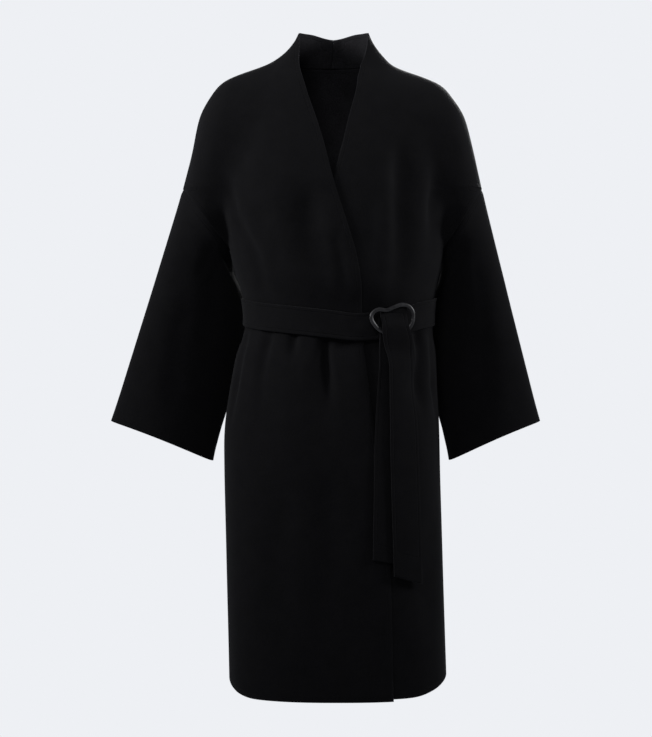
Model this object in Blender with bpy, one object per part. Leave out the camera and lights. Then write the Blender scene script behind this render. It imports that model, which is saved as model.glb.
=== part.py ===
"""A belted wrap coat of black double-faced wool, hanging filled out with no wearer.

Metres, +Z up, the front faces -Y and +X is the wearer's left. The origin is the middle of the
neck at shoulder height, where a wearer's shoulders carry the coat.

Every piece of cloth is a true wall. The trunk is a stack of level rings read from the SECTIONS
table, the panels are stretches of those rings, and the belt is made from the same rings moved out.
"""

import math
from collections import namedtuple
from functools import lru_cache

import bmesh
import bpy
import numpy as np
from mathutils import Matrix, Vector

# Driving sizes
WALL = 0.0022  # double-faced wool
BELT_WALL = 0.0030  # the belt is two layers, sewn flat
SEAM_GAP = 0.0003
COLLAR_TOP = 0.046
COLLAR_PEAK = 0.007  # the collar's top is this much higher beside the neck than behind it
FRONT_DROP = 0.005  # and this much lower in front than at the back
CORNER_DROP = 0.007  # and its front corners are rounded down
CORNER_SHARE = 0.25
NECK_SEAM = 0.0
HEM = -1.029
OVERLAP_DROP = 0.003  # the over front hangs this much lower than the rest of the hem
HEM_FREE = -0.80  # below this the hem's line shapes the cloth
# The hem rises towards the side seams: by how much, and from which angle off the front or back.
HEM_RISE = {-1: 0.018, 1: 0.024}
HEM_LEVEL = {-1: 48.0, 1: 38.0}
SHOULDER_END = -0.209
UNDERARM = -0.315
SHOULDER_ROUND = -0.05  # below this the shoulder seam moves over to the armhole's middle
ARMHOLE_DEPTH = 0.068  # half of the armhole, front to back
ARMHOLE_Y = 0.012
BACK_FULLNESS = 1.3  # the back rounds over the upper arm this much more fully than the fronts
BELT_WIDTH = 0.043
BELT_CLEAR = 0.0012
BELT_SQUEEZE = 0.005  # how far the belt draws the cloth in
SQUEEZE_FULL, SQUEEZE_END = 0.036, 0.066  # the squeeze fades out between these, off the belt's middle
FOLDS_HELD, FOLDS_FREE = 0.023, 0.040  # the belt presses the folds flat up to the first of these
TUCK = 0.0048  # the under front lies this far inside the over front
TUCK_TOP, TUCK_FULL = -0.085, -0.150  # heights between which the tuck begins
TUCK_EDGE, TUCK_CLEAR = 0.008, 0.045  # the tuck ends between these, past the over front's edge
RING_WIRE = 0.0036  # half the width of the buckle's bar
RING_FLATNESS = 0.72  # the bar's depth over its width
RING_STANDOFF = 0.0136  # the buckle's middle plane, out from the cloth under the belt

# Level rings of the trunk. front and back are depths from the ring's centre.
SECTION_COLUMNS = ("z", "centre_x", "centre_y", "half_width", "front", "back", "square")
SECTIONS = (
    (0.046, 0.001, 0.010, 0.058, 0.044, 0.050, 2.00),
    (0.026, 0.000, 0.010, 0.070, 0.048, 0.058, 2.00),
    (0.007, -0.002, 0.009, 0.087, 0.052, 0.068, 2.00),
    (-0.013, -0.005, 0.007, 0.112, 0.059, 0.081, 2.00),
    (-0.028, -0.005, 0.006, 0.136, 0.066, 0.090, 2.00),
    (-0.052, -0.003, 0.005, 0.164, 0.078, 0.101, 2.05),
    (-0.088, -0.002, 0.004, 0.182, 0.092, 0.111, 2.10),
    (-0.145, 0.000, 0.002, 0.188, 0.109, 0.119, 2.20),
    (-0.215, 0.000, 0.000, 0.188, 0.123, 0.120, 2.20),
    (-0.290, 0.004, 0.000, 0.182, 0.130, 0.116, 2.20),
    (-0.360, 0.008, 0.000, 0.169, 0.128, 0.112, 2.20),
    (-0.420, 0.010, 0.000, 0.159, 0.114, 0.105, 2.25),
    (-0.520, 0.002, 0.000, 0.169, 0.126, 0.115, 2.30),
    (-0.620, -0.002, 0.000, 0.1775, 0.138, 0.128, 2.40),
    (-0.800, 0.002, 0.000, 0.178, 0.146, 0.136, 2.50),
    (-1.040, 0.008, 0.000, 0.1785, 0.152, 0.142, 2.50),
)

# The line of the shoulders and upper arms, seen from the front.
SHOULDER_COLUMNS = ("z", "half_width", "centre_x")
SHOULDERS = (
    (0.046, 0.058, 0.001),
    (0.026, 0.070, 0.000),
    (0.007, 0.088, -0.002),
    (-0.003, 0.101, -0.006),
    (-0.013, 0.123, -0.010),
    (-0.023, 0.152, -0.010),
    (-0.033, 0.175, -0.006),
    (-0.043, 0.188, -0.004),
    (-0.063, 0.203, -0.003),
    (-0.079, 0.2135, -0.002),
    (-0.112, 0.2245, -0.001),
    (-0.145, 0.232, 0.000),
    (-0.209, 0.2475, -0.001),
)

# The free edge of the over front. The under front's edge is its mirror image.
EDGE_COLUMNS = ("z", "x")
FRONT_EDGE = (
    (0.046, -0.0565),
    (-0.002, -0.0560),
    (-0.047, -0.0455),
    (-0.090, -0.0320),
    (-0.124, -0.0210),
    (-0.214, 0.0030),
    (-0.290, 0.0270),
    (-0.326, 0.0375),
    (-0.381, 0.0455),
    (-0.460, 0.0500),
    (-0.590, 0.0660),
    (-0.840, 0.0910),
    (-1.040, 0.0955),
)

# Where a panel leaves the trunk's ring to reach the shoulder or the armhole, in degrees, how
# strongly it keeps its direction there, and how strongly it rounds over at the shoulder seam.
LEAVE_COLUMNS = ("z", "angle", "leaving", "arriving")
LEAVE = (
    (0.046, 66.0, 1.0, 1.0),
    (-0.020, 60.0, 1.0, 1.2),
    (-0.060, 56.0, 1.0, 1.7),
    (-0.120, 58.0, 0.9, 2.2),
    (-0.209, 66.0, 0.8, 2.4),
    (-0.262, 75.0, 0.9, 1.0),
    (-0.315, 78.0, 1.0, 1.0),
    (-0.360, 60.0, 1.0, 1.0),
)

# How a panel's rows reach the armhole: turn runs from its top to the underarm, and angle is 0
# straight towards the seam and 90 straight outwards.
ARRIVAL_COLUMNS = ("turn", "angle", "arriving")
ARRIVAL = (
    (0.0, 0.0, 2.40),
    (15.0, 7.0, 2.00),
    (30.0, 19.0, 1.56),
    (45.0, 39.0, 1.22),
    (60.0, 64.0, 1.09),
    (75.0, 82.0, 1.00),
    (90.0, 90.0, 1.00),
    (135.0, 45.0, 1.00),
    (180.0, 0.0, 1.00),
)

# Rows under the armhole's top follow the row above it: fully to the first turn, not past the second.
CAP_FULL = math.radians(40.0)
CAP_END = math.radians(80.0)
CAP_NEAREST = 0.45
CAP_HALVINGS = 24

# The middle line of the belt. Angles run from the front towards +X.
BELT_COLUMNS = ("angle", "z")
BELT_LINE = (
    (-180.0, -0.4080),
    (-90.0, -0.4125),
    (-56.0, -0.4230),
    (-5.0, -0.4356),
    (14.0, -0.4395),
    (39.0, -0.4350),
    (65.0, -0.4195),
    (90.0, -0.4125),
    (180.0, -0.4080),
)

# Troughs pressed into the trunk: the angle and height of their top and low end, and their size.
FOLD_DEEP, FOLD_FADES = 0.28, 0.55  # shares of a fold's length where it is full, and starts to fade
Fold = namedtuple("Fold", "top start low end half_width depth")
FOLDS = (
    (57.0, -0.150, 38.5, -0.400, 0.0130, 0.0130),
    (-18.0, -0.200, -8.0, -0.405, 0.0160, 0.0060),
    (-50.0, -0.230, -38.0, -0.400, 0.0150, 0.0050),
    (-11.5, -0.450, -2.0, -0.620, 0.0130, 0.0090),
    (57.0, -0.435, 53.0, -0.600, 0.0130, 0.0100),
    (-46.0, -0.440, -41.0, -0.700, 0.0140, 0.0060),
    (26.0, -0.455, 24.0, -0.720, 0.0130, 0.0050),
    (150.0, -0.190, 161.0, -0.395, 0.0160, 0.0090),
    (-154.0, -0.210, -166.0, -0.395, 0.0150, 0.0080),
    (184.0, -0.260, 181.0, -0.395, 0.0130, 0.0060),
    (173.0, -0.420, 176.0, -0.640, 0.0110, 0.0100),
    (-167.0, -0.420, -170.0, -0.590, 0.0100, 0.0080),
    (141.0, -0.420, 145.0, -0.700, 0.0140, 0.0080),
    (-143.0, -0.420, -147.0, -0.740, 0.0140, 0.0090),
)

# The sleeves: the outer corner of each cuff, and the inner line from underarm to cuff.
CUFF_OUTER = {-1: (-0.3663, -0.592), 1: (0.3416, -0.592)}
INNER_COLUMNS = ("along", "x", "y", "z")
SLEEVE_INNER = {
    -1: (
        (0.00, -0.166, 0.012, -0.315),
        (0.05, -0.171, 0.028, -0.330),
        (0.10, -0.165, 0.045, -0.345),
        (0.30, -0.140, 0.074, -0.410),
        (0.62, -0.158, 0.062, -0.520),
        (0.83, -0.180, 0.036, -0.590),
        (1.00, -0.198, 0.006, -0.658),
    ),
    1: (
        (0.00, 0.177, 0.012, -0.315),
        (0.05, 0.183, 0.028, -0.330),
        (0.10, 0.181, 0.042, -0.345),
        (0.30, 0.158, 0.072, -0.410),
        (0.62, 0.163, 0.060, -0.520),
        (0.83, 0.1765, 0.036, -0.590),
        (1.00, 0.1914, 0.006, -0.657),
    ),
}
SLEEVE_DEPTH_COLUMNS = ("along", "half_depth")
SLEEVE_DEPTH = ((0.0, ARMHOLE_DEPTH), (0.3, 0.069), (0.65, 0.064), (1.0, 0.056))
SLEEVE_START = 0.0014  # the share of a sleeve's length that its seam takes
CUFF_BOW = 0.0045  # the middle of a cuff's edge sits this much higher than its corners
# Troughs along a sleeve, as in FOLDS: turns in degrees from the outer line over the front, and
# shares of the sleeve's length.
SLEEVE_FOLDS = {
    -1: (
        (118.0, 0.05, 100.0, 0.70, 0.014, 0.007),
        (60.0, 0.10, 78.0, 0.80, 0.018, 0.004),
        (250.0, 0.05, 262.0, 0.75, 0.016, 0.007),
    ),
    1: (
        (112.0, 0.03, 118.0, 0.66, 0.013, 0.011),
        (66.0, 0.15, 80.0, 0.85, 0.018, 0.004),
        (246.0, 0.05, 258.0, 0.70, 0.016, 0.007),
    ),
}

# The belt's hanging ends: left and right edges, how far the inner face stands off the buckle's
# middle plane and off the cloth, and how much the buckle holds the strip (1) or the cloth (0).
TAIL_COLUMNS = ("z", "left", "right", "off_buckle", "off_cloth", "held")
TAIL_OVER = (
    (-0.408, 0.0800, 0.1130, -0.0063, 0.0070, 1.0),
    (-0.418, 0.0800, 0.1128, -0.0061, 0.0070, 1.0),
    (-0.430, 0.0800, 0.1126, -0.0012, 0.0070, 1.0),
    (-0.441, 0.0801, 0.1130, 0.0038, 0.0075, 1.0),
    (-0.456, 0.0803, 0.1190, 0.0040, 0.0080, 1.0),
    (-0.474, 0.0810, 0.1216, 0.0034, 0.0104, 0.6),
    (-0.500, 0.0820, 0.1228, 0.0000, 0.0106, 0.0),
    (-0.560, 0.0838, 0.1250, 0.0000, 0.0086, 0.0),
    (-0.640, 0.0852, 0.1285, 0.0000, 0.0074, 0.0),
    (-0.848, 0.0912, 0.1346, 0.0000, 0.0068, 0.0),
)
TAIL_UNDER = (
    (-0.440, 0.0735, 0.1130, 0.0000, 0.0052, 0.0),
    (-0.464, 0.0727, 0.1140, 0.0000, 0.0052, 0.0),
    (-0.510, 0.0709, 0.1135, 0.0000, 0.0022, 0.0),
    (-0.600, 0.0660, 0.1085, 0.0000, 0.0016, 0.0),
    (-0.715, 0.0627, 0.1052, 0.0000, 0.0016, 0.0),
    (-0.816, 0.0610, 0.1035, 0.0000, 0.0016, 0.0),
)
TAIL_OVER_SLANT = 0.014  # the right corner hangs this much lower than the left
TAIL_UNDER_SLANT = 0.008

# The buckle's bar, along and up from its centre: a free-form ring with a dip in its top.
RING_CENTRE = (0.0885, -0.4275)
RING_LINE = (
    (-0.0350, 0.0045),
    (-0.0255, 0.0148),
    (-0.0085, 0.0146),
    (0.0065, 0.0205),
    (0.0200, 0.0235),
    (0.0325, 0.0175),
    (0.0362, 0.0050),
    (0.0320, -0.0100),
    (0.0205, -0.0200),
    (0.0010, -0.0235),
    (-0.0165, -0.0195),
    (-0.0300, -0.0085),
)

# How finely the walls are divided
COLLAR_ROWS = 4
COLLAR_BACK_COLUMNS = 7
FRONT_COLUMNS = 18
BACK_COLUMNS = 26
SLEEVE_COLUMNS = 24
SLEEVE_ROWS = 12
BELT_COLUMNS_ROUND = 72
BELT_ROWS = 2
TAIL_COLUMNS_ACROSS = 2
TAIL_ROWS = 22
TAIL_OVER_CROWDING = 1.8  # rows lie closer together near the buckle
TAIL_UNDER_CROWDING = 1.2
RING_STEPS = 4
RING_SIDES = 2
SHOULDER_ROWS = (0.0, -0.006, -0.013, -0.021, -0.030, -0.042, -0.060, -0.085, -0.115, -0.148, -0.176, -0.194,
                 -0.204)
ARMHOLE_ROWS = 12  # half of SLEEVE_COLUMNS, so that the seam's points meet
WAIST_ROWS = (-0.336, -0.360, -0.384, -0.408, -0.432, -0.456, -0.480)
SKIRT_ROWS = 12
RING_SHARE = 0.66  # the share of a panel's columns that lies on the trunk's ring

COLOURS = {
    "wool": ((0.0050, 0.0050, 0.0056, 1.0), 0.92, 0.0),
    "belt": ((0.0060, 0.0060, 0.0066, 1.0), 0.90, 0.0),
    "buckle": ((0.030, 0.030, 0.032, 1.0), 0.38, 0.6),
}


class Profile:
    """A smooth curve through the values of a table's column, with no overshoot between rows."""

    def __init__(self, places, values):
        order = np.argsort(places)
        self.places = np.asarray(places, float)[order]
        self.values = np.asarray(values, float)[order]
        step = np.diff(self.places)
        rise = np.diff(self.values) / step
        self.slopes = np.concatenate(([rise[0]], np.zeros(len(rise) - 1), [rise[-1]]))
        for i in range(1, len(rise)):
            before, after = rise[i - 1], rise[i]
            if before * after > 0:
                near = 2 * step[i] + step[i - 1]
                far = step[i] + 2 * step[i - 1]
                self.slopes[i] = (near + far) / (near / before + far / after)

    def __call__(self, place):
        place = min(max(place, self.places[0]), self.places[-1])
        i = min(max(int(np.searchsorted(self.places, place)) - 1, 0), len(self.places) - 2)
        step = self.places[i + 1] - self.places[i]
        t = (place - self.places[i]) / step
        return float(
            self.values[i] * (1 + 2 * t) * (1 - t) ** 2
            + self.values[i + 1] * t * t * (3 - 2 * t)
            + step * t * (1 - t) * (self.slopes[i] * (1 - t) - self.slopes[i + 1] * t)
        )


def profiles(table, columns):
    """One Profile for each column of a table, over the table's first column."""
    places = [row[0] for row in table]
    return {name: Profile(places, [row[i] for row in table]) for i, name in enumerate(columns) if i}


TRUNK = profiles(SECTIONS, SECTION_COLUMNS)
SHOULDER = profiles(SHOULDERS, SHOULDER_COLUMNS)
EDGE = profiles(FRONT_EDGE, EDGE_COLUMNS)["x"]
LEAVING = profiles(LEAVE, LEAVE_COLUMNS)
ARRIVING = profiles(ARRIVAL, ARRIVAL_COLUMNS)
BELT_Z = profiles(BELT_LINE, BELT_COLUMNS)["z"]
INNER_LINE = {side: profiles(SLEEVE_INNER[side], INNER_COLUMNS) for side in SLEEVE_INNER}
HALF_DEPTH = profiles(SLEEVE_DEPTH, SLEEVE_DEPTH_COLUMNS)["half_depth"]


def ease(start, end, value):
    """0 at start, 1 at end, and smooth between them."""
    t = min(max((value - start) / (end - start), 0.0), 1.0)
    return t * t * (3 - 2 * t)


def mix(a, b, share):
    return a + (b - a) * share


def hermite(start, leaving, end, arriving, t):
    """The point at t of a curve between two points with given directions of travel."""
    return (
        start * (1 + 2 * t) * (1 - t) ** 2
        + leaving * t * (1 - t) ** 2
        + end * t * t * (3 - 2 * t)
        - arriving * t * t * (1 - t)
    )


@lru_cache(maxsize=None)
def section(z):
    return {name: value(z) for name, value in TRUNK.items()}


def ring_radius(angle, depth, z):
    """The trunk's radius at an angle from straight ahead, for its front or back depth."""
    ring = section(z)
    along = abs(math.sin(angle)) / ring["half_width"]
    ahead = abs(math.cos(angle)) / ring[depth]
    return (along ** ring["square"] + ahead ** ring["square"]) ** (-1 / ring["square"])


def turned(degrees):
    """An angle in degrees, brought between -180 and 180."""
    return (degrees + 180.0) % 360.0 - 180.0


def trough(row, across, along, arc):
    """How deep one fold presses at a place, where arc is the length of a radian there."""
    fold = Fold(*row)
    share = (along - fold.start) / (fold.end - fold.start)
    ends = ease(0.0, FOLD_DEEP, share) * ease(1.0, FOLD_FADES, share)
    if ends == 0.0:
        return 0.0
    aside = math.radians(turned(across - mix(fold.top, fold.low, share))) * arc
    return fold.depth * ends * math.exp(-((aside / fold.half_width) ** 2))


def pressed_in(degrees, z, radius):
    """How far the belt and the folds draw the cloth towards the trunk's middle."""
    from_belt = abs(z - BELT_Z(turned(degrees)))
    belt = BELT_SQUEEZE * ease(SQUEEZE_END, SQUEEZE_FULL, from_belt)
    free = ease(FOLDS_HELD, FOLDS_FREE, from_belt)
    return belt + free * sum(trough(row, degrees, z, radius) for row in FOLDS)


def settled(x, y, z, out=0.0):
    """A point of the trunk's plain ring after the belt and the folds have drawn it in."""
    ring = section(z)
    aside = x - ring["centre_x"]
    ahead = ring["centre_y"] - y
    radius = math.hypot(aside, ahead)
    degrees = math.degrees(math.atan2(aside, ahead))
    share = (radius - pressed_in(degrees, z, radius) + out) / radius
    return Vector((ring["centre_x"] + aside * share, ring["centre_y"] - ahead * share, z))


def trunk_point(degrees, z, out=0.0):
    """A point of the settled trunk, moved out from it."""
    ring = section(z)
    angle = math.radians(degrees)
    radius = ring_radius(angle, "front" if math.cos(angle) > 0 else "back", z)
    x = ring["centre_x"] + radius * math.sin(angle)
    y = ring["centre_y"] - radius * math.cos(angle)
    return settled(x, y, z, out)


def front_angle(x, z):
    """The angle in degrees at which the trunk's front has a given x."""
    ring = section(z)
    aside = (x - ring["centre_x"]) / ring["half_width"]
    ahead = ring["front"] * (1 - abs(aside) ** ring["square"]) ** (1 / ring["square"])
    return math.degrees(math.atan2(x - ring["centre_x"], ahead))


def armhole(side, turn):
    """A point of the armhole: turn runs from its top over the front to the underarm."""
    top = Vector((side * SHOULDER["half_width"](SHOULDER_END) + SHOULDER["centre_x"](SHOULDER_END),
                  ARMHOLE_Y, SHOULDER_END))
    low = Vector((INNER_LINE[side]["x"](0.0), ARMHOLE_Y, UNDERARM))
    across = (top - low) / 2
    return (top + low) / 2 + across * math.cos(turn) - Vector((0, ARMHOLE_DEPTH * math.sin(turn), 0))


def armhole_turn(z):
    """The turn at which the armhole has a height, 0 at its top and pi at the underarm."""
    middle = (SHOULDER_END + UNDERARM) / 2
    return math.acos(min(max((z - middle) / (SHOULDER_END - middle), -1.0), 1.0))


def armhole_normal(side, turn, own):
    """The way out of the cloth at the armhole: the same for panel and sleeve on its upper side."""
    top, low = armhole(side, 0.0), armhole(side, math.pi)
    outer_x, outer_z = CUFF_OUTER[side]
    inner = INNER_LINE[side]
    cuff = Vector(((outer_x + inner["x"](1.0)) / 2, ARMHOLE_Y, (outer_z + inner["z"](1.0)) / 2))
    axis = (cuff - (top + low) / 2).normalized()
    spoke = armhole(side, turn) - (top + low) / 2
    upward = (spoke - axis * spoke.dot(axis)).normalized()
    return own.lerp(upward, ease(-0.6, 0.0, math.cos(turn))).normalized()


def seam_point(side, facing, z):
    """Where a panel's row ends, the direction in which it gets there and how strongly it does.

    facing is -1 for a front and 1 for the back. The direction is (outwards, towards the seam).
    """
    towards = Vector((0.0, -1.0))
    ring = section(z)
    if z >= SHOULDER_END:
        x = side * SHOULDER["half_width"](z) + SHOULDER["centre_x"](z)
        lower = ease(SHOULDER_ROUND, SHOULDER_END, z)
        y = mix(ring["centre_y"], ARMHOLE_Y, lower)
        fuller = mix(1.0, BACK_FULLNESS, lower) if facing > 0 else 1.0
        return x, y, towards * LEAVING["arriving"](z) * fuller
    if z > UNDERARM:
        turn = armhole_turn(z)
        point = armhole(side, -facing * turn)
        outwards = math.radians(ARRIVING["angle"](math.degrees(turn)))
        towards = Vector((math.sin(outwards), -math.cos(outwards)))
        return point.x, point.y, towards * ARRIVING["arriving"](math.degrees(turn))
    level = ease(UNDERARM, WAIST_ROWS[1], z)
    x = mix(INNER_LINE[side]["x"](0.0), ring["centre_x"] + side * ring["half_width"], level)
    return x, mix(ARMHOLE_Y, ring["centre_y"], level), towards


def on_ring(degrees, facing, z):
    """A point of the plain ring, from its centre: (to its own side, ahead of the panel)."""
    angle = math.radians(degrees)
    radius = ring_radius(angle, "front" if facing < 0 else "back", z)
    return Vector((radius * math.sin(angle), radius * math.cos(angle)))


def bridge(side, facing, leave, z):
    """The curve that takes a panel's row from the ring to its seam, as hermite() reads it."""
    ring = section(z)
    x, y, towards = seam_point(side, facing, z)
    end = Vector((side * (x - ring["centre_x"]), facing * (y - ring["centre_y"])))
    begin = on_ring(leave, facing, z)
    reach = (end - begin).length
    onwards = (on_ring(leave + 0.5, facing, z) - on_ring(leave - 0.5, facing, z)).normalized()
    return begin, onwards * reach * LEAVING["leaving"](z), end, towards * reach


def under_cap(side, facing, leave, z, t):
    """A row just under the armhole's top: the row at the top, cut off where the seam crosses it."""
    top = bridge(side, facing, leave, SHOULDER_END)
    begin, _, end, _ = bridge(side, facing, leave, z)
    near, far = CAP_NEAREST, 1.0
    for _ in range(CAP_HALVINGS):
        cut = (near + far) / 2
        if hermite(*top, cut).y > end.y:
            near = cut
        else:
            far = cut
    shift = (begin - top[0]) * (1 - t) ** 2 + (end - hermite(*top, cut)) * t**2
    return hermite(*top, t * cut) + shift


def row_point(side, facing, share, z, start):
    """A point of one panel's level row, from its start angle (share 0) to its seam (share 1).

    Angles run from straight ahead of the panel, towards its own side.
    """
    ring = section(z)
    leave = max(LEAVING["angle"](z), mix(start, 90.0, 0.5))
    if share <= RING_SHARE:
        flat = on_ring(mix(start, leave, share / RING_SHARE), facing, z)
    else:
        t = (share - RING_SHARE) / (1 - RING_SHARE)
        curve = bridge(side, facing, leave, z)
        t *= 1 - SEAM_GAP / 2 / (curve[2] - curve[0]).length
        flat = hermite(*curve, t)
        capped = ease(CAP_END, CAP_FULL, armhole_turn(z)) if z < SHOULDER_END else 0.0
        if capped:
            flat = flat.lerp(under_cap(side, facing, leave, z, t), capped)
        plain = on_ring(mix(leave, 90.0, t), facing, z)
        flat = flat.lerp(plain, ease(UNDERARM, WAIST_ROWS[1], z))
    return ring["centre_x"] + side * flat.x, ring["centre_y"] + facing * flat.y


def row_heights():
    """The heights of the panels' rows, from the neck seam to the hem."""
    middle = (SHOULDER_END + UNDERARM) / 2
    half = SHOULDER_END - middle
    arm = [middle + half * math.cos(math.pi * i / ARMHOLE_ROWS) for i in range(ARMHOLE_ROWS + 1)]
    waist = WAIST_ROWS[-1]
    skirt = [mix(waist, HEM, (i + 1) / SKIRT_ROWS) for i in range(SKIRT_ROWS)]
    return [*SHOULDER_ROWS, *arm, *WAIST_ROWS, *skirt]


ROWS = row_heights()


def row_height(v):
    """The height of a panel's row: v counts rows down from the neck seam, and up the collar."""
    if v <= 0:
        return mix(NECK_SEAM, COLLAR_TOP, -v / COLLAR_ROWS)
    i = min(int(v), len(ROWS) - 2)
    return mix(ROWS[i], ROWS[i + 1], v - i)


def front_point(side):
    """The surface of a front with its half of the collar.

    u runs from the free edge (0) to the shoulder, armhole and side seam (1), and on round the
    back of the neck to the middle (2). v counts rows.
    """

    def point(u, v):
        z = row_height(v)
        top = ease(COLLAR_TOP / 2, COLLAR_TOP, z)
        z -= top * (FRONT_DROP * ease(1.7, 0.3, u) + CORNER_DROP * ease(CORNER_SHARE, 0.0, u))
        z += top * COLLAR_PEAK * ease(0.4, 1.25, u) * ease(2.0, 1.5, u)
        if u > 1:
            lifted = z + SEAM_GAP / 2 * ease(1, 0, -v)
            x, y = row_point(side, 1, 2 - u, lifted, math.degrees(SEAM_GAP / 2 / section(z)["back"]))
            return Vector((x, y, lifted))
        start = -front_angle(EDGE(z), z)
        x, y = row_point(side, -1, u, z, start)
        drop = OVERLAP_DROP * ease(1.0, RING_SHARE, u) if side < 0 else 0.0
        tuck = TUCK * under_share(x, z) if side > 0 else 0.0
        place = settled(x, y, z, -tuck)
        place.z += hem_shift(place) - drop * ease(HEM_FREE, HEM, z)
        return place

    return point


def hem_shift(place):
    """How far a point near the hem moves up, or down on the over front."""
    ring = section(place.z)
    across = math.degrees(math.atan2(place.x - ring["centre_x"], ring["centre_y"] - place.y))
    side = 1 if across > 0 else -1
    from_side = abs(abs(across) - 90.0)
    rise = HEM_RISE[side] * ease(90.0 - HEM_LEVEL[side], 0.0, from_side)
    return rise * ease(HEM_FREE, HEM, place.z)


def under_share(x, z):
    """1 where the under front lies behind the over front, and 0 well past the over front's edge."""
    past = x - EDGE(z)
    return ease(TUCK_TOP, TUCK_FULL, z) * ease(TUCK_CLEAR, TUCK_EDGE, past)


def back_point(u, v):
    """The back's surface: u runs from seam to seam through the middle (0), v counts rows."""
    z = row_height(v) - SEAM_GAP / 2 * ease(1, 0, v)
    side = 1 if u > 0 else -1
    x, y = row_point(side, 1, abs(u), z, 0.0)
    place = settled(x, y, z)
    place.z += hem_shift(place)
    return place


def sleeve_point(side):
    """A sleeve's surface: u goes once round from the outer line over the front, v runs down."""
    top = armhole(side, 0.0)
    outer_x, outer_z = CUFF_OUTER[side]
    inner = INNER_LINE[side]

    def point(u, v):
        turn = 2 * math.pi * u
        along = mix(SLEEVE_START, 1.0, v)
        outer = top.lerp(Vector((outer_x, 0.0, outer_z)), along)
        under = Vector((inner["x"](along), inner["y"](along), inner["z"](along)))
        centre = (outer + under) / 2
        half_depth = HALF_DEPTH(along)
        place = centre + (outer - centre) * math.cos(turn)
        place.y -= half_depth * math.sin(turn)
        place.z += CUFF_BOW * math.sin(turn) ** 2 * ease(0.6, 1.0, along)
        arc = (half_depth + (outer - centre).length) / 2
        deep = sum(trough(row, math.degrees(turn), along, arc) for row in SLEEVE_FOLDS[side])
        return place + (centre - place).normalized() * deep

    return point


def belt_point(u, v):
    """The belt's outer face: u goes once round from behind the buckle, v runs down."""
    gap = math.degrees(SEAM_GAP / section(BELT_Z(0.0))["front"])
    degrees = turned(front_angle(RING_CENTRE[0], RING_CENTRE[1]) + mix(gap, 360.0 - gap, u))
    z = BELT_Z(degrees) + (0.5 - v) * BELT_WIDTH
    return trunk_point(degrees, z, BELT_CLEAR + BELT_WALL)


@lru_cache(maxsize=None)
def buckle_frame():
    """The buckle's middle, the level direction along it and the direction out of it."""
    x, z = RING_CENTRE
    degrees = front_angle(x, z)
    middle = trunk_point(degrees, z, RING_STANDOFF)
    along = (trunk_point(degrees + 8.0, z) - trunk_point(degrees - 8.0, z)).normalized()
    return middle, along, along.cross(Vector((0, 0, 1)))


def tail_point(table, slant, crowding):
    """A hanging end's outer face: u runs from its left edge to its right, v runs down."""
    line = profiles(table, TAIL_COLUMNS)
    top, low = table[0][0], table[-1][0]
    middle, along, out = buckle_frame()

    def point(u, v):
        z = mix(top, low, v**crowding)
        x = mix(line["left"](z), line["right"](z), u)
        off_buckle = line["off_buckle"](z) + BELT_WALL
        off_cloth = line["off_cloth"](z) + BELT_WALL
        held = line["held"](z)
        z -= slant * (u - 1) * v
        on_cloth = trunk_point(front_angle(x, z), z, off_cloth)
        on_buckle = middle + along * ((x - middle.x) / along.x) + out * off_buckle
        on_buckle.z = z
        return on_cloth.lerp(on_buckle, held)

    return point


def normal(point_at, u, v, u_range, v_range, facing):
    """The surface's unit normal at (u, v), from its neighbours on both sides where it has them."""
    step = 1e-3
    left, right = max(u - step, u_range[0]), min(u + step, u_range[1])
    over, under = max(v - step, v_range[0]), min(v + step, v_range[1])
    along = point_at(right, v) - point_at(left, v)
    down = point_at(u, under) - point_at(u, over)
    return along.cross(down).normalized() * facing


def panel_rim(side, facing):
    """A panel's way out of the cloth at its armhole rows, from its own normal. side 0 means both."""

    def rim(u, v, own):
        z = row_height(v)
        if abs(u) != 1 or v <= 0 or not UNDERARM <= z <= SHOULDER_END:
            return own
        return armhole_normal(side or u, -facing * armhole_turn(z), own)

    return rim


def sleeve_rim(side):
    return lambda u, v, own: own if v else armhole_normal(side, 2 * math.pi * u, own)


def as_it_is(u, v, own):
    return own


def cloth_wall(name, point_at, patches, thickness, facing, finish, rim=as_it_is):
    """One piece of cloth: a grid for each patch, welded, and given its thickness inwards.

    A patch is (u range, columns, v range, rows). facing turns the surface's normal outwards, and
    rim changes the normal where two pieces meet.
    """
    bm = bmesh.new()
    outside = bm.verts.layers.float_vector.new("outside")
    for u_range, columns, v_range, rows in patches:
        grid = bmesh.ops.create_grid(bm, x_segments=columns, y_segments=rows, size=0.5)
        for vert in grid["verts"]:
            u = mix(u_range[0], u_range[1], vert.co.x + 0.5)
            v = mix(v_range[0], v_range[1], vert.co.y + 0.5)
            vert[outside] = rim(u, v, normal(point_at, u, v, u_range, v_range, facing))
            vert.co = point_at(u, v)
    bmesh.ops.remove_doubles(bm, verts=bm.verts, dist=SEAM_GAP / 20)
    inner = bmesh.ops.extrude_face_region(bm, geom=bm.faces[:], use_keep_orig=True)
    for item in inner["geom"]:
        if isinstance(item, bmesh.types.BMVert):
            item.co -= Vector(item[outside]) * thickness
    bm.verts.layers.float_vector.remove(outside)
    bmesh.ops.recalc_face_normals(bm, faces=bm.faces)
    mesh = bpy.data.meshes.new(name)
    bm.to_mesh(mesh)
    bm.free()
    return add_piece(name, mesh, finish)


def add_piece(name, mesh, finish):
    """Puts a mesh in the coat's collection as one named piece, shaded smooth."""
    mesh.shade_smooth()
    mesh.set_sharp_from_angle(angle=math.radians(50))
    mesh.materials.append(finish)
    piece = bpy.data.objects.new(name, mesh)
    coat.objects.link(piece)
    return piece


def plain_finish(name):
    colour, roughness, metallic = COLOURS[name]
    finish = bpy.data.materials.new(name)
    finish.use_nodes = True
    shader = finish.node_tree.nodes["Principled BSDF"]
    shader.inputs["Base Color"].default_value = colour
    shader.inputs["Roughness"].default_value = roughness
    shader.inputs["Metallic"].default_value = metallic
    return finish


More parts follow.
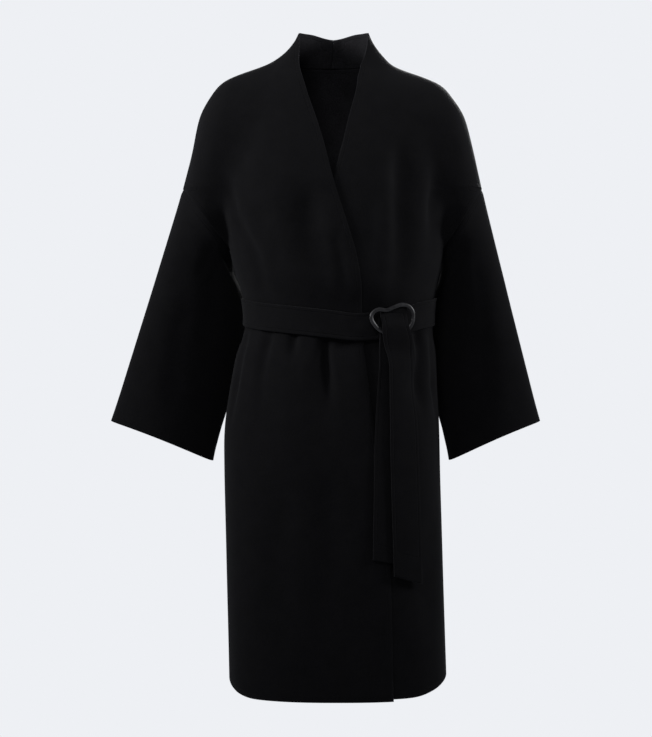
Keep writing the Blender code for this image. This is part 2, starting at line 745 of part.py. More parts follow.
def add_panels(finish):
    """The two fronts, each in one with its half of the collar, and the back."""
    rows = len(ROWS) - 1
    for name, side in (("front_right", -1), ("front_left", 1)):
        patches = (
            ((0.0, 1.0), FRONT_COLUMNS, (0.0, rows), rows),
            ((0.0, 1.0), FRONT_COLUMNS, (-COLLAR_ROWS, 0.0), COLLAR_ROWS),
            ((1.0, 2.0), COLLAR_BACK_COLUMNS, (-COLLAR_ROWS, 0.0), COLLAR_ROWS),
        )
        cloth_wall(name, front_point(side), patches, WALL, -side, finish, panel_rim(side, -1))
    back = (((-1.0, 1.0), BACK_COLUMNS, (0.0, rows), rows),)
    cloth_wall("back", back_point, back, WALL, 1, finish, panel_rim(0, 1))


def add_sleeves(finish):
    for name, side in (("sleeve_right", -1), ("sleeve_left", 1)):
        tube = (((0.0, 1.0), SLEEVE_COLUMNS, (0.0, 1.0), SLEEVE_ROWS),)
        cloth_wall(name, sleeve_point(side), tube, WALL, side, finish, sleeve_rim(side))


def add_belt(finish):
    """The belt round the waist and its two hanging ends."""
    band = (((0.0, 1.0), BELT_COLUMNS_ROUND, (0.0, 1.0), BELT_ROWS),)
    cloth_wall("belt_waist", belt_point, band, BELT_WALL, -1, finish)
    strip = (((0.0, 1.0), TAIL_COLUMNS_ACROSS, (0.0, 1.0), TAIL_ROWS),)
    over = tail_point(TAIL_OVER, TAIL_OVER_SLANT, TAIL_OVER_CROWDING)
    cloth_wall("belt_tail_over", over, strip, BELT_WALL, -1, finish)
    under = tail_point(TAIL_UNDER, TAIL_UNDER_SLANT, TAIL_UNDER_CROWDING)
    cloth_wall("belt_tail_under", under, strip, BELT_WALL, -1, finish)


def add_buckle(finish):
    """The free-form ring that the belt passes through, standing just off the belt."""
    curve = bpy.data.curves.new("belt_ring_line", "CURVE")
    curve.dimensions = "3D"
    curve.bevel_depth = RING_WIRE
    curve.bevel_resolution = RING_SIDES
    curve.resolution_u = RING_STEPS
    spline = curve.splines.new("BEZIER")
    spline.bezier_points.add(len(RING_LINE) - 1)
    spline.use_cyclic_u = True
    for knot, (along, up) in zip(spline.bezier_points, RING_LINE):
        knot.co = (along, 0.0, up)
        knot.handle_left_type = "AUTO"
        knot.handle_right_type = "AUTO"
    guide = bpy.data.objects.new("belt_ring_line", curve)
    coat.objects.link(guide)
    bpy.context.view_layer.update()
    mesh = bpy.data.meshes.new_from_object(guide.evaluated_get(bpy.context.evaluated_depsgraph_get()))
    mesh.name = "belt_ring"
    bpy.data.objects.remove(guide)
    middle, along, _ = buckle_frame()
    turn = Matrix.Rotation(math.atan2(along.y, along.x), 4, "Z")
    mesh.transform(Matrix.Translation(middle) @ turn @ Matrix.Diagonal((1.0, RING_FLATNESS, 1.0, 1.0)))
    bm = bmesh.new()
    bm.from_mesh(mesh)
    bmesh.ops.remove_doubles(bm, verts=bm.verts, dist=1e-6)
    bmesh.ops.recalc_face_normals(bm, faces=bm.faces)
    bm.to_mesh(mesh)
    bm.free()
    add_piece("belt_ring", mesh, finish)


for leftover in list(bpy.data.objects):
    bpy.data.objects.remove(leftover)
coat = bpy.data.collections.new("belted_coat")
bpy.context.scene.collection.children.link(coat)
add_panels(plain_finish("wool"))
add_sleeves(plain_finish("wool"))
add_belt(plain_finish("belt"))
add_buckle(plain_finish("buckle"))
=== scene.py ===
import math
from collections import namedtuple

import bmesh
import bpy
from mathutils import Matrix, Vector, noise
from mathutils.bvhtree import BVHTree


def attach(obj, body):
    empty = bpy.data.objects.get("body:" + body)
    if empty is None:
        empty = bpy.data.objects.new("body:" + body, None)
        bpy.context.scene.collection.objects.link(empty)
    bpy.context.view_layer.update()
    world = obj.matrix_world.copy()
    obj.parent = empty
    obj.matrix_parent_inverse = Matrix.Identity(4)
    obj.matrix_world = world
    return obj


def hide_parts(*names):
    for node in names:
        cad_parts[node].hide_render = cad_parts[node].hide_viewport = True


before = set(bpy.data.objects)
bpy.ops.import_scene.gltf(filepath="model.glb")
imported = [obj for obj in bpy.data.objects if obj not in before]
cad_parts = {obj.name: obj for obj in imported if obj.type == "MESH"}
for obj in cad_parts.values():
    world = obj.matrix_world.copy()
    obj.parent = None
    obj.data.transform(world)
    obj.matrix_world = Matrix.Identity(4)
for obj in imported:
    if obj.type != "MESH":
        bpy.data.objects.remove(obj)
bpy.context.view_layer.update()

# Sizes, in metres unless a comment says otherwise
WELD = 1e-5
JOIN_FLAT = math.radians(40.0)  # triangles are joined to quads up to this bend
JOIN_SHAPE = math.radians(150.0)
FIT_ROUNDS = 4  # how often a divided mesh is drawn back to its first points
RIM_ANGLE = math.radians(48.0)  # a wall's rim meets its faces more sharply than this
CORNER_ANGLE = math.radians(35.0)  # the rim's line turns a corner where it bends more than this
RIM_ROUND = 0.0005  # how far the rim's edges are drawn back to round it
RIM_SWELL = 0.00014  # how far the rim's middle swells, to close the seams
EDGE_HELD = 3.0  # a sleeve's creases fade out towards its edges, in millimetres from them
EDGE_FREE = 32.0
STITCH_SPREAD = 2.4  # half the width of a stitched groove, in millimetres
BELT_STITCH_AT = 5.2  # where the belt is stitched, in millimetres from its edge
BELT_STITCH_DEPTH = 0.00035
COAT_STITCH_AT = 7.0
TAIL_LEFT = 0.080  # the over tail's edges at the ring
TAIL_RIGHT = 0.113
TAIL_SPREAD_LEFT = 0.0035
TAIL_SPREAD_RIGHT = 0.0060
TAIL_WIDE = -0.446  # the spread ends below this height
TAIL_NARROW = -0.500
SIDE_HELD = 6.0  # creases fade out towards the sides, in degrees from them
SIDE_FREE = 24.0
TUCK_REACH = 9.0  # a sleeve's top is tucked in this far from its edge, in millimetres
TUCK_UP = 0.0032
TUCK_IN = 0.0022
FADE_IN = 0.30  # a crease deepens up to this share of its length
FADE_OUT = 0.50  # and fades out from this share on
CREASE_REACH = 3  # a crease is cut off at this many half widths
SWAY = 5.0  # how far a crease wanders from its straight line, in degrees
SWAY_PACE = 2.2  # how fast it wanders, and where in the noise it starts
SWAY_PLACE = 0.3
UNEVEN = 0.5  # how unevenly deep a crease is
UNEVEN_PACE = 3.1  # how fast its depth changes, and where in the noise it starts
UNEVEN_PLACE = 1.7
ARMHOLE_HELD = 0.215  # creases fade out towards the armholes
ARMHOLE_FREE = 0.185
NECK_LOW = -0.200  # the painted light on the inner face fades out down to here, and to the sides
NECK_TOP = -0.140
NECK_OUT = 0.130
NECK_IN = 0.100
TURNED_IN = 0.15  # how far a face must look inwards to count as inner
CHEST_SIDE = 0.060  # where the chest is evened out
CHEST_END = 0.175
CHEST_LOW = -0.380
CHEST_TOP = -0.110
CHEST_ROUNDS = 6
CHEST_EASE = 0.5
RING_LEVELS = 2
BELT_HEIGHT = -0.424
BELT_HELD = 0.040  # ridges stop this far from the belt's middle
BELT_FREE = 0.075

# Each sewn piece: its node, how often it is divided, its slot, and its flat cut with the cut's area.
Piece = namedtuple("Piece", "node levels slot flat area held rests_on")
PIECES = (
    Piece("front_right", 2, "wool", (0.46, 1.12), 0.32, "hung", ("back",)),
    Piece("front_left", 2, "wool", (0.45, 1.11), 0.315, "hung", ("back",)),
    Piece("back", 2, "wool", (0.66, 1.05), 0.52, "hung", ("front_right", "front_left")),
    Piece("sleeve_right", 3, "wool", (0.46, 0.47), 0.168, "hung", ("front_right", "back")),
    Piece("sleeve_left", 3, "wool", (0.44, 0.47), 0.152, "hung", ("front_left", "back")),
    Piece("belt_waist", 3, "belt", (0.044, 0.90), None, "gathered", ("front_right", "front_left", "back")),
    Piece("belt_tail_over", 3, "belt", (0.047, 0.46), None, "hung", ("belt_ring",)),
    Piece("belt_tail_under", 3, "belt", (0.046, 0.39), None, "hung", ("belt_waist",)),
)

# Soft creases of the trunk: angle and height of the top and low end, half width and depth. Angles
# run from the front towards the wearer's left. A negative depth is a ridge.
Crease = namedtuple("Crease", "top start low end half_width depth")
TRUNK_CREASES = (
    Crease(53.0, -0.105, 43.0, -0.430, 0.018, 0.0130),
    Crease(70.0, -0.090, 65.0, -0.340, 0.014, 0.0110),
    Crease(-69.0, -0.130, -64.0, -0.340, 0.011, 0.0060),
    Crease(62.0, -0.140, 55.0, -0.390, 0.016, -0.0025),
    Crease(36.0, -0.190, 30.0, -0.400, 0.016, 0.0050),
    Crease(-25.0, -0.190, -12.0, -0.410, 0.028, 0.0075),
    Crease(-62.0, -0.240, -50.0, -0.405, 0.012, 0.0060),
    Crease(4.0, -0.270, 8.0, -0.410, 0.011, 0.0040),
    Crease(-36.0, -0.425, -29.0, -0.505, 0.0075, 0.0060),
    Crease(-8.0, -0.415, -1.0, -0.580, 0.0080, 0.0105),
    Crease(10.0, -0.425, 10.0, -0.495, 0.018, 0.0065),
    Crease(-20.0, -0.450, -16.0, -0.560, 0.010, -0.0030),
    Crease(-54.0, -0.420, -47.0, -0.580, 0.009, 0.0060),
    Crease(-76.0, -0.420, -70.0, -0.620, 0.010, 0.0060),
    Crease(63.0, -0.415, 59.0, -0.600, 0.009, 0.0100),
    Crease(78.0, -0.420, 74.0, -0.640, 0.010, 0.0060),
    Crease(-36.0, -0.640, -31.0, -1.010, 0.030, 0.0050),
    Crease(-6.0, -0.620, -2.0, -1.010, 0.028, 0.0050),
    Crease(60.0, -0.680, 57.0, -1.010, 0.028, 0.0045),
    Crease(124.0, -0.170, 142.0, -0.400, 0.014, 0.0075),
    Crease(-126.0, -0.180, -144.0, -0.400, 0.014, 0.0070),
    Crease(177.0, -0.100, 171.0, -0.390, 0.020, 0.0045),
    Crease(157.0, -0.270, 163.0, -0.405, 0.011, 0.0055),
    Crease(-160.0, -0.280, -166.0, -0.405, 0.011, 0.0050),
    Crease(152.0, -0.415, 158.0, -0.640, 0.009, 0.0085),
    Crease(-155.0, -0.415, -160.0, -0.600, 0.009, 0.0090),
    Crease(176.0, -0.420, 174.0, -0.560, 0.009, 0.0065),
    Crease(-122.0, -0.420, -128.0, -0.660, 0.010, 0.0075),
    Crease(120.0, -0.420, 126.0, -0.640, 0.010, 0.0070),
    Crease(165.0, -0.660, 168.0, -1.010, 0.030, 0.0055),
    Crease(-148.0, -0.680, -146.0, -1.010, 0.028, 0.0050),
)

# Soft creases of the sleeves: turns from the outer line over the front, and shares of the length.
SLEEVE_CREASES = {
    "sleeve_right": (
        Crease(150.0, 0.06, 128.0, 0.34, 0.010, 0.0030),
        Crease(128.0, 0.03, 96.0, 0.30, 0.010, 0.0026),
        Crease(88.0, 0.30, 92.0, 0.95, 0.022, 0.0028),
        Crease(40.0, 0.20, 50.0, 0.95, 0.024, 0.0022),
        Crease(228.0, 0.05, 250.0, 0.40, 0.012, 0.0030),
        Crease(290.0, 0.20, 284.0, 0.90, 0.022, 0.0026),
    ),
    "sleeve_left": (
        Crease(146.0, 0.06, 124.0, 0.36, 0.010, 0.0030),
        Crease(92.0, 0.05, 100.0, 0.50, 0.012, -0.0018),
        Crease(96.0, 0.40, 90.0, 0.95, 0.022, 0.0026),
        Crease(44.0, 0.25, 52.0, 0.95, 0.024, 0.0022),
        Crease(232.0, 0.05, 254.0, 0.42, 0.012, 0.0030),
        Crease(288.0, 0.25, 282.0, 0.92, 0.022, 0.0026),
    ),
}
SLEEVE_AXIS = {
    "sleeve_right": (Vector((-0.207, 0.012, -0.262)), Vector((-0.282, 0.012, -0.625))),
    "sleeve_left": (Vector((0.212, 0.012, -0.262)), Vector((0.267, 0.012, -0.625))),
}

TRUNK = ("front_right", "front_left", "back")
NECK_PAINTED_LIGHT = 3.6  # how much paler the cloth's inner face is painted at the neck: painted light, standing in for the light that falls into the neck opening

# The photograph's camera, the backdrop and the floor
CAMERA_PLACE = (-0.0116, -3.2, -0.506)
CAMERA_LENS = 94.7
SENSOR_WIDTH = 36.0
BACKDROP = (0.855, 0.871, 0.905)
SURROUND = (0.15, 0.155, 0.17)  # the light that the pale surround throws on the coat
FLOOR_HEIGHT = -2.20
FLOOR_RADIUS = 4.0
FLOOR_GLOW = 0.55  # keeps the floor pale under the dim lights
FLOOR_CENTRE = (0.0, -0.5)
FLOOR_TONES = ((0.3, (0.66, 0.67, 0.69)), (0.7, (0.68, 0.69, 0.71)))

# Soft lights: place, the point that each faces, size, power and how many degrees it spreads over
Light = namedtuple("Light", "name place target size power spread")
LIGHTS = (
    Light("left_side", (-2.6, -0.75, 0.9), (0.0, 0.0, 0.0), (1.0, 1.0), 12.0, 50.0),
    Light("right_side", (2.7, -0.35, 0.7), (0.1, 0.0, -0.05), (1.0, 1.0), 8.0, 48.0),
    Light("front", (-0.6, -2.6, 1.7), (0.0, 0.0, -0.05), (1.2, 0.9), 4.0, 50.0),
    Light("behind", (0.5, 3.0, 1.3), (0.0, 0.0, -0.30), (1.6, 1.2), 28.0, 65.0),
)

# Wool: its dark and light tone, and how deep its line of stitching looks
COAT_TONES = ((0.0023, 0.0023, 0.0026), (0.0045, 0.0044, 0.0050))
BELT_TONES = ((0.0024, 0.0024, 0.0027), (0.0047, 0.0046, 0.0052))
COAT_LINE = 1.1
BELT_LINE = 1.8
LINE_HALF = 0.9  # half the width of a stitched line, in millimetres
MOTTLE_SCALE = 38.0
NAP_SCALE = 520.0
HAIR_SCALE = 900.0
HAIR_STRETCH = (1.0, 1.0, 0.35)
MOTTLE_SHARE = 0.30
NAP_SHARE = 0.70
PILE_NAP = 0.6
PILE_HAIR = 0.4
PILE_HEIGHT = 0.0006

# The ring's metal
METAL_TONES = ((0.35, (0.010, 0.010, 0.011)), (0.70, (0.024, 0.024, 0.026)))
CLOUD_SCALE = 120.0
GRAIN_SCALE = 700.0
GRAIN_HEIGHT = 0.00008


def ease(start, end, value):
    """0 at start, 1 at end, and smooth between them."""
    t = min(max((value - start) / (end - start), 0.0), 1.0)
    return t * t * (3 - 2 * t)


def turned(degrees):
    return (degrees + 180.0) % 360.0 - 180.0


def crease_depth(crease, across, along, arc):
    """How deep one crease presses at a place, where arc is the length of a radian there."""
    share = (along - crease.start) / (crease.end - crease.start)
    ends = ease(0.0, FADE_IN, share) * ease(1.0, FADE_OUT, share)
    if ends == 0.0:
        return 0.0
    sway = SWAY * noise.noise(Vector((crease.top, share * SWAY_PACE, SWAY_PLACE)))
    middle = crease.top + (crease.low - crease.top) * share + sway * ends
    aside = math.radians(turned(across - middle)) * arc
    if abs(aside) > CREASE_REACH * crease.half_width:
        return 0.0
    uneven = 1.0 + UNEVEN * noise.noise(Vector((crease.low, share * UNEVEN_PACE, UNEVEN_PLACE)))
    return crease.depth * ends * uneven * math.exp(-((aside / crease.half_width) ** 2))


def trunk_move(place):
    """How a point of the trunk's cloth moves in the creases, towards the trunk's middle."""
    flat = Vector((place.x, place.y, 0.0))
    across = math.degrees(math.atan2(place.x, -place.y))
    free = ease(BELT_HELD, BELT_FREE, abs(place.z - BELT_HEIGHT))
    deep = 0.0
    for crease in TRUNK_CREASES:
        share = 1.0 if crease.depth > 0 else free
        deep += share * crease_depth(crease, across, place.z, flat.length)
    from_armhole = ease(ARMHOLE_HELD, ARMHOLE_FREE, abs(place.x))
    from_side = ease(SIDE_HELD, SIDE_FREE, abs(abs(across) - 90.0))
    return flat.normalized() * (-deep * from_armhole * from_side)


def sleeve_move(name):
    """The same for one sleeve, towards its middle line."""
    top, low = SLEEVE_AXIS[name]
    axis = (low - top).normalized()
    length = (low - top).length
    outwards = Vector((math.copysign(1.0, top.x), 0.0, 0.0))
    outwards = (outwards - axis * outwards.dot(axis)).normalized()
    ahead = Vector((0.0, -1.0, 0.0))

    def move(place):
        along = (place - top).dot(axis) / length
        spoke = place - top - axis * (along * length)
        across = math.degrees(math.atan2(spoke.dot(ahead), spoke.dot(outwards)))
        deep = sum(crease_depth(crease, across, along, spoke.length) for crease in SLEEVE_CREASES[name])
        return spoke.normalized() * -deep

    return move


def tail_move(place):
    """Spreads the over tail, where it comes down through the ring."""
    across = ease(TAIL_LEFT, TAIL_RIGHT, place.x)
    spread = TAIL_SPREAD_RIGHT * across - TAIL_SPREAD_LEFT * (1.0 - across)
    return Vector((spread * ease(TAIL_NARROW, TAIL_WIDE, place.z), 0.0, 0.0))


def no_move(place):
    return Vector()


def welded_quads(node):
    """A CAD solid's mesh, welded and joined to quads."""
    bm = bmesh.new()
    bm.from_mesh(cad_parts[node].data)
    bmesh.ops.remove_doubles(bm, verts=bm.verts, dist=WELD)
    bmesh.ops.join_triangles(
        bm,
        faces=bm.faces,
        angle_face_threshold=JOIN_FLAT,
        angle_shape_threshold=JOIN_SHAPE,
    )
    return bm


def quad_wall(node):
    """A CAD wall as quads, with its rim's edges and corners creased."""
    bm = welded_quads(node)
    edge_crease = bm.edges.layers.float.new("crease_edge")
    vert_crease = bm.verts.layers.float.new("crease_vert")
    sharp = {edge for edge in bm.edges if edge.calc_face_angle(0.0) > RIM_ANGLE}
    for edge in sharp:
        edge[edge_crease] = 1.0
    for vert in bm.verts:
        along = [edge.other_vert(vert).co - vert.co for edge in vert.link_edges if edge in sharp]
        bends = [a.angle(-b) for a in along for b in along if a is not b]
        if bends and min(bends) > CORNER_ANGLE:
            vert[vert_crease] = 1.0
    for face in bm.faces:
        face.material_index = int(sum(edge in sharp for edge in face.edges) >= 2)
    return bm


def ease_chest(bm):
    """Evens out the solid's coarse fold on the chest, where a finer crease takes its place."""
    coarse = [
        vert
        for vert in bm.verts
        if CHEST_SIDE < vert.co.x < CHEST_END and CHEST_LOW < vert.co.z < CHEST_TOP and vert.co.y < 0.0
    ]
    for _ in range(CHEST_ROUNDS):
        bmesh.ops.smooth_vert(
            bm,
            verts=coarse,
            factor=CHEST_EASE,
            use_axis_x=True,
            use_axis_y=True,
            use_axis_z=True,
        )


def divided(carrier, levels):
    """A copy of the carrier's mesh after smooth division."""
    division = carrier.modifiers["smooth"]
    division.levels = levels
    division.render_levels = levels
    bpy.context.view_layer.update()
    return bpy.data.meshes.new_from_object(carrier.evaluated_get(bpy.context.evaluated_depsgraph_get()))


def smooth_mesh(bm, name, levels):
    """The mesh after smooth division, fitted so that its rim still passes through its first points."""
    edge_crease = bm.edges.layers.float.get("crease_edge")
    bm.verts.index_update()
    aims = {}
    for edge in bm.edges:
        if edge_crease and edge[edge_crease]:
            aims.update((vert.index, vert.co.copy()) for vert in edge.verts)
    rough = bpy.data.meshes.new(name + "_rough")
    bm.to_mesh(rough)
    bm.free()
    carrier = bpy.data.objects.new(name + "_rough", rough)
    bpy.context.scene.collection.objects.link(carrier)
    carrier.modifiers.new("smooth", "SUBSURF")
    for _ in range(FIT_ROUNDS):
        reached = divided(carrier, 1)
        for index, aim in aims.items():
            rough.vertices[index].co += aim - reached.vertices[index].co
        bpy.data.meshes.remove(reached)
    mesh = divided(carrier, levels)
    bpy.data.objects.remove(carrier)
    bpy.data.meshes.remove(rough)
    mesh.name = name
    return mesh


def round_rim(bm):
    """Draws the rim's edges back a little and swells its middle, so that the cloth's edge is round."""
    ways, shifts = {}, {}
    for vert in bm.verts:
        rim = [face.normal for face in vert.link_faces if face.material_index]
        if rim:
            ways[vert] = sum(rim, Vector()).normalized()
            shifts[vert] = RIM_SWELL if len(rim) == len(vert.link_faces) else -RIM_ROUND
    for vert, way in ways.items():
        vert.co += way * shifts[vert]


def mark_edge(bm):
    """Stores each point's distance from the cloth's edge, in millimetres, for the stitching."""
    distance = bm.verts.layers.float.new("from_edge")
    rim = [face for face in bm.faces if face.material_index]
    points = [vert.co.copy() for vert in bm.verts]
    bm.verts.index_update()
    tree = BVHTree.FromPolygons(points, [[vert.index for vert in face.verts] for face in rim])
    for vert in bm.verts:
        vert[distance] = tree.find_nearest(vert.co)[3] * 1000.0
    return distance


def mark_painted_neck_light(bm):
    """Marks where light is painted: the trunk's inner face at the neck, where it looks towards the trunk's
    middle line, is painted paler as if lit through the neck opening.
    """
    neck_painted_light = bm.verts.layers.float.new("neck_painted_light")
    for vert in bm.verts:
        spoke = Vector((vert.co.x, vert.co.y, 0.0)).normalized()
        at_neck = ease(NECK_LOW, NECK_TOP, vert.co.z) * ease(NECK_OUT, NECK_IN, abs(vert.co.x))
        vert[neck_painted_light] = at_neck * ease(TURNED_IN, -TURNED_IN, vert.normal.dot(spoke))


def tuck_in(bm, name):
    """Draws a sleeve's top edge up and in, behind the armhole's edge, as its seam allowance lies."""
    distance = bm.verts.layers.float["from_edge"]
    top, low = SLEEVE_AXIS[name]
    axis = (low - top).normalized()
    for vert in bm.verts:
        along = (vert.co - top).dot(axis)
        near = ease(TUCK_REACH, 0.0, vert[distance])
        if along < (low - top).length / 2:
            spoke = vert.co - top - axis * along
            vert.co -= (axis * TUCK_UP + spoke.normalized() * TUCK_IN) * near


def press_stitching(bm):
    """Sinks a soft groove along the belt's edges, where it is stitched."""
    distance = bm.verts.layers.float["from_edge"]
    for vert in bm.verts:
        share = max(0.0, 1.0 - abs(vert[distance] - BELT_STITCH_AT) / STITCH_SPREAD)
        vert.co -= vert.normal * (BELT_STITCH_DEPTH * share)


def dress(piece, move, finish):
    """One sewn piece: its CAD wall divided smoothly, creased and with a rounded edge."""
    wall = quad_wall(piece.node)
    if piece.node == "front_left":
        ease_chest(wall)
    mesh = smooth_mesh(wall, piece.node + "_cloth", piece.levels)
    bm = bmesh.new()
    bm.from_mesh(mesh)
    distance = mark_edge(bm)
    if piece.node in TRUNK:
        mark_painted_neck_light(bm)
    for vert in bm.verts:
        free = ease(EDGE_HELD, EDGE_FREE, vert[distance]) if piece.node in SLEEVE_AXIS else 1.0
        vert.co += move(vert.co) * free
    bm.normal_update()
    if piece.slot == "belt":
        press_stitching(bm)
    if piece.node in SLEEVE_AXIS:
        tuck_in(bm, piece.node)
    round_rim(bm)
    for face in bm.faces:
        face.material_index = 0
        face.smooth = True
    bm.to_mesh(mesh)
    bm.free()
    mesh.materials.clear()
    mesh.materials.append(finish)
    cloth = bpy.data.objects.new(piece.node + "_cloth", mesh)
    bpy.context.scene.collection.objects.link(cloth)
    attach(cloth, "root")
    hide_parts(piece.node)


class Finish:
    """A node material under construction, with short calls for its nodes."""

    def __init__(self, name):
        self.material = bpy.data.materials.new(name)
        self.material.use_nodes = True
        self.tree = self.material.node_tree
        self.shader = self.tree.nodes["Principled BSDF"]
        self.coordinates = self.tree.nodes.new("ShaderNodeTexCoord").outputs["Object"]

    def link(self, source, target):
        self.tree.links.new(source, target)

    def noise(self, scale, detail=4.0, roughness=0.55, stretch=None):
        node = self.tree.nodes.new("ShaderNodeTexNoise")
        node.inputs["Scale"].default_value = scale
        node.inputs["Detail"].default_value = detail
        node.inputs["Roughness"].default_value = roughness
        place = self.coordinates
        if stretch:
            mapping = self.tree.nodes.new("ShaderNodeMapping")
            mapping.inputs["Scale"].default_value = stretch
            self.link(place, mapping.inputs["Vector"])
            place = mapping.outputs["Vector"]
        self.link(place, node.inputs["Vector"])
        return node.outputs["Fac"]

    def ramp(self, source, stops):
        node = self.tree.nodes.new("ShaderNodeValToRGB")
        while len(node.color_ramp.elements) < len(stops):
            node.color_ramp.elements.new(0.5)
        for element, (place, colour) in zip(node.color_ramp.elements, stops):
            element.position = place
            element.color = (*colour, 1.0)
        self.link(source, node.inputs["Fac"])
        return node.outputs["Color"]

    def spread(self, source, low, high, to_low, to_high, kind="LINEAR"):
        node = self.tree.nodes.new("ShaderNodeMapRange")
        node.interpolation_type = kind
        node.inputs["From Min"].default_value = low
        node.inputs["From Max"].default_value = high
        node.inputs["To Min"].default_value = to_low
        node.inputs["To Max"].default_value = to_high
        self.link(source, node.inputs["Value"])
        return node.outputs["Result"]

    def math(self, kind, a, b):
        node = self.tree.nodes.new("ShaderNodeMath")
        node.operation = kind
        for socket, value in zip(node.inputs, (a, b)):
            if isinstance(value, float):
                socket.default_value = value
            else:
                self.link(value, socket)
        return node.outputs["Value"]

    def blend(self, a, share_a, b, share_b):
        return self.math("ADD", self.math("MULTIPLY", a, share_a), self.math("MULTIPLY", b, share_b))

    def mix(self, share, a, b):
        node = self.tree.nodes.new("ShaderNodeMix")
        node.data_type = "RGBA"
        self.link(share, node.inputs["Factor"])
        self.link(a, node.inputs[6])
        self.link(b, node.inputs[7])
        return node.outputs[2]

    def attribute(self, name):
        node = self.tree.nodes.new("ShaderNodeAttribute")
        node.attribute_name = name
        return node.outputs["Fac"]

    def bump(self, height, distance, strength=1.0):
        node = self.tree.nodes.new("ShaderNodeBump")
        node.inputs["Distance"].default_value = distance
        node.inputs["Strength"].default_value = strength
        self.link(height, node.inputs["Height"])
        self.link(node.outputs["Normal"], self.shader.inputs["Normal"])


def wool(name, tones, stitch_at, line_depth):
    """Felted wool: a mottled nap, and a sunk line of stitching beside the cloth's edge."""
    finish = Finish(name)
    dark, light = tones
    mottle = finish.noise(MOTTLE_SCALE, 5.0)
    nap = finish.noise(NAP_SCALE, 3.0, 0.6)
    hair = finish.noise(HAIR_SCALE, 2.0, 0.5, HAIR_STRETCH)
    shade = finish.blend(mottle, MOTTLE_SHARE, nap, NAP_SHARE)
    outer = finish.ramp(shade, ((0.30, dark), (0.70, light)))
    # painted light: the inner face at the neck is painted paler than the outer cloth, standing in for
    # light that falls into the neck opening
    painted_light_inner = finish.ramp(shade, ((0.30, light), (0.70, tuple(NECK_PAINTED_LIGHT * part for part in light))))
    colour = finish.mix(finish.attribute("neck_painted_light"), outer, painted_light_inner)
    finish.link(colour, finish.shader.inputs["Base Color"])
    finish.link(finish.spread(nap, 0.3, 0.7, 0.82, 0.96), finish.shader.inputs["Roughness"])
    edge = finish.attribute("from_edge")
    before = finish.spread(edge, stitch_at - LINE_HALF, stitch_at, 0.0, 1.0, "SMOOTHSTEP")
    after = finish.spread(edge, stitch_at, stitch_at + LINE_HALF, 1.0, 0.0, "SMOOTHSTEP")
    groove = finish.math("MULTIPLY", finish.math("MULTIPLY", before, after), -line_depth)
    pile = finish.blend(nap, PILE_NAP, hair, PILE_HAIR)
    finish.bump(finish.math("ADD", pile, groove), PILE_HEIGHT, 0.7)
    shader = finish.shader
    shader.inputs["Specular IOR Level"].default_value = 0.02
    shader.inputs["Sheen Weight"].default_value = 0.02
    shader.inputs["Sheen Roughness"].default_value = 0.45
    shader.inputs["Sheen Tint"].default_value = (0.92, 0.95, 1.0, 1.0)
    return finish.material


def dark_metal():
    """The ring's dark grey satin metal, slightly worn and cloudy."""
    finish = Finish("ring_metal")
    cloud = finish.noise(CLOUD_SCALE, 4.0)
    finish.link(finish.ramp(cloud, METAL_TONES), finish.shader.inputs["Base Color"])
    finish.link(finish.spread(cloud, 0.3, 0.7, 0.32, 0.46), finish.shader.inputs["Roughness"])
    finish.bump(finish.noise(GRAIN_SCALE, 2.0), GRAIN_HEIGHT, 0.4)
    finish.shader.inputs["Metallic"].default_value = 0.4
    finish.shader.inputs["Specular IOR Level"].default_value = 0.3
    return finish.material


def add_ring(finish):
    """The buckle's ring, rounder than its solid."""
    mesh = smooth_mesh(welded_quads("belt_ring"), "belt_ring_metal", RING_LEVELS)
    mesh.shade_smooth()
    mesh.materials.clear()
    mesh.materials.append(finish)
    ring = bpy.data.objects.new("belt_ring_metal", mesh)
    bpy.context.scene.collection.objects.link(ring)
    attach(ring, "root")
    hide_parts("belt_ring")


def add_camera():
    data = bpy.data.cameras.new("camera")
    data.lens = CAMERA_LENS
    data.sensor_width = SENSOR_WIDTH
    data.sensor_fit = "AUTO"
    camera = bpy.data.objects.new("camera", data)
    camera.location = CAMERA_PLACE
    camera.rotation_euler = (math.pi / 2, 0.0, 0.0)
    bpy.context.scene.collection.objects.link(camera)
    bpy.context.scene.camera = camera


def add_light(light):
    """A soft rectangular light that faces a point."""
    data = bpy.data.lights.new(light.name, "AREA")
    data.shape = "RECTANGLE"
    data.size, data.size_y = light.size
    data.energy = light.power
    data.spread = math.radians(light.spread)
    lamp = bpy.data.objects.new(light.name, data)
    lamp.location = light.place
    facing = Vector(light.target) - Vector(light.place)
    lamp.rotation_euler = facing.to_track_quat("-Z", "Y").to_euler()
    bpy.context.scene.collection.objects.link(lamp)


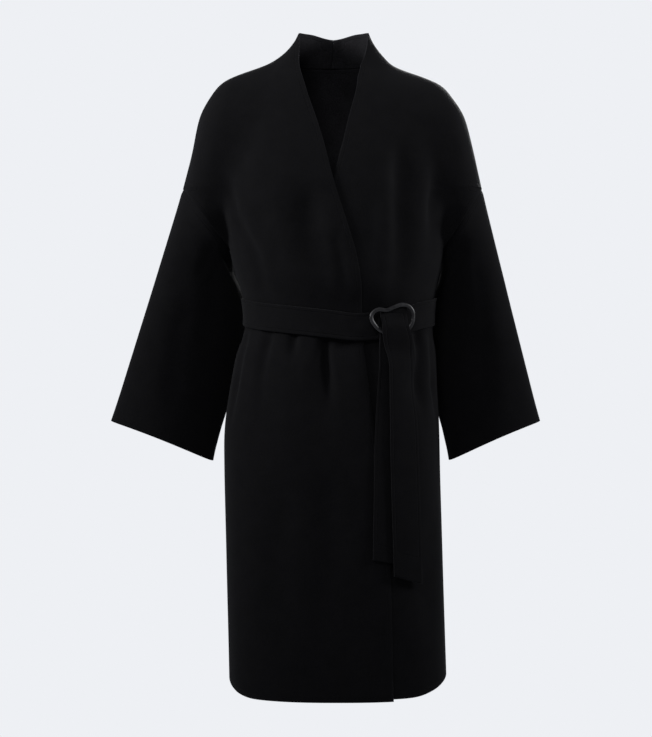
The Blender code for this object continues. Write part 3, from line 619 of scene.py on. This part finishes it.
def add_surround():
    """An even pale surround, which is seen brighter than it lights the coat."""
    world = bpy.data.worlds.new("surround")
    world.use_nodes = True
    tree = world.node_tree
    backdrop = tree.nodes["Background"]
    backdrop.inputs["Color"].default_value = (*BACKDROP, 1.0)
    surround = tree.nodes.new("ShaderNodeBackground")
    surround.inputs["Color"].default_value = (*SURROUND, 1.0)
    chosen = tree.nodes.new("ShaderNodeMixShader")
    seen = tree.nodes.new("ShaderNodeLightPath").outputs["Is Camera Ray"]
    tree.links.new(seen, chosen.inputs["Fac"])
    tree.links.new(surround.outputs["Background"], chosen.inputs[1])
    tree.links.new(backdrop.outputs["Background"], chosen.inputs[2])
    tree.links.new(chosen.outputs["Shader"], tree.nodes["World Output"].inputs["Surface"])
    bpy.context.scene.world = world


def add_studio():
    """A pale floor under the coat, an even pale surround and soft lights."""
    bm = bmesh.new()
    bmesh.ops.create_circle(bm, cap_ends=True, segments=128, radius=FLOOR_RADIUS)
    bmesh.ops.translate(bm, verts=bm.verts, vec=(*FLOOR_CENTRE, FLOOR_HEIGHT))
    mesh = bpy.data.meshes.new("floor")
    bm.to_mesh(mesh)
    bm.free()
    finish = Finish("floor_paint")
    finish.link(finish.ramp(finish.noise(3.0), FLOOR_TONES), finish.shader.inputs["Base Color"])
    finish.shader.inputs["Roughness"].default_value = 0.9
    finish.shader.inputs["Emission Color"].default_value = (*BACKDROP, 1.0)
    finish.shader.inputs["Emission Strength"].default_value = FLOOR_GLOW
    mesh.materials.append(finish.material)
    floor = bpy.data.objects.new("floor", mesh)
    bpy.context.scene.collection.objects.link(floor)
    add_surround()
    for light in LIGHTS:
        add_light(light)
    bpy.context.scene.view_settings.view_transform = "Standard"


add_camera()
coat_wool = wool("coat_wool", COAT_TONES, COAT_STITCH_AT, COAT_LINE)
belt_wool = wool("belt_wool", BELT_TONES, BELT_STITCH_AT, BELT_LINE)
MOVES = {panel: trunk_move for panel in TRUNK}
MOVES["belt_tail_over"] = tail_move
for sleeve in SLEEVE_AXIS:
    MOVES[sleeve] = sleeve_move(sleeve)
for sewn in PIECES:
    dress(sewn, MOVES.get(sewn.node, no_move), coat_wool if sewn.slot == "wool" else belt_wool)
add_ring(dark_metal())
add_studio()
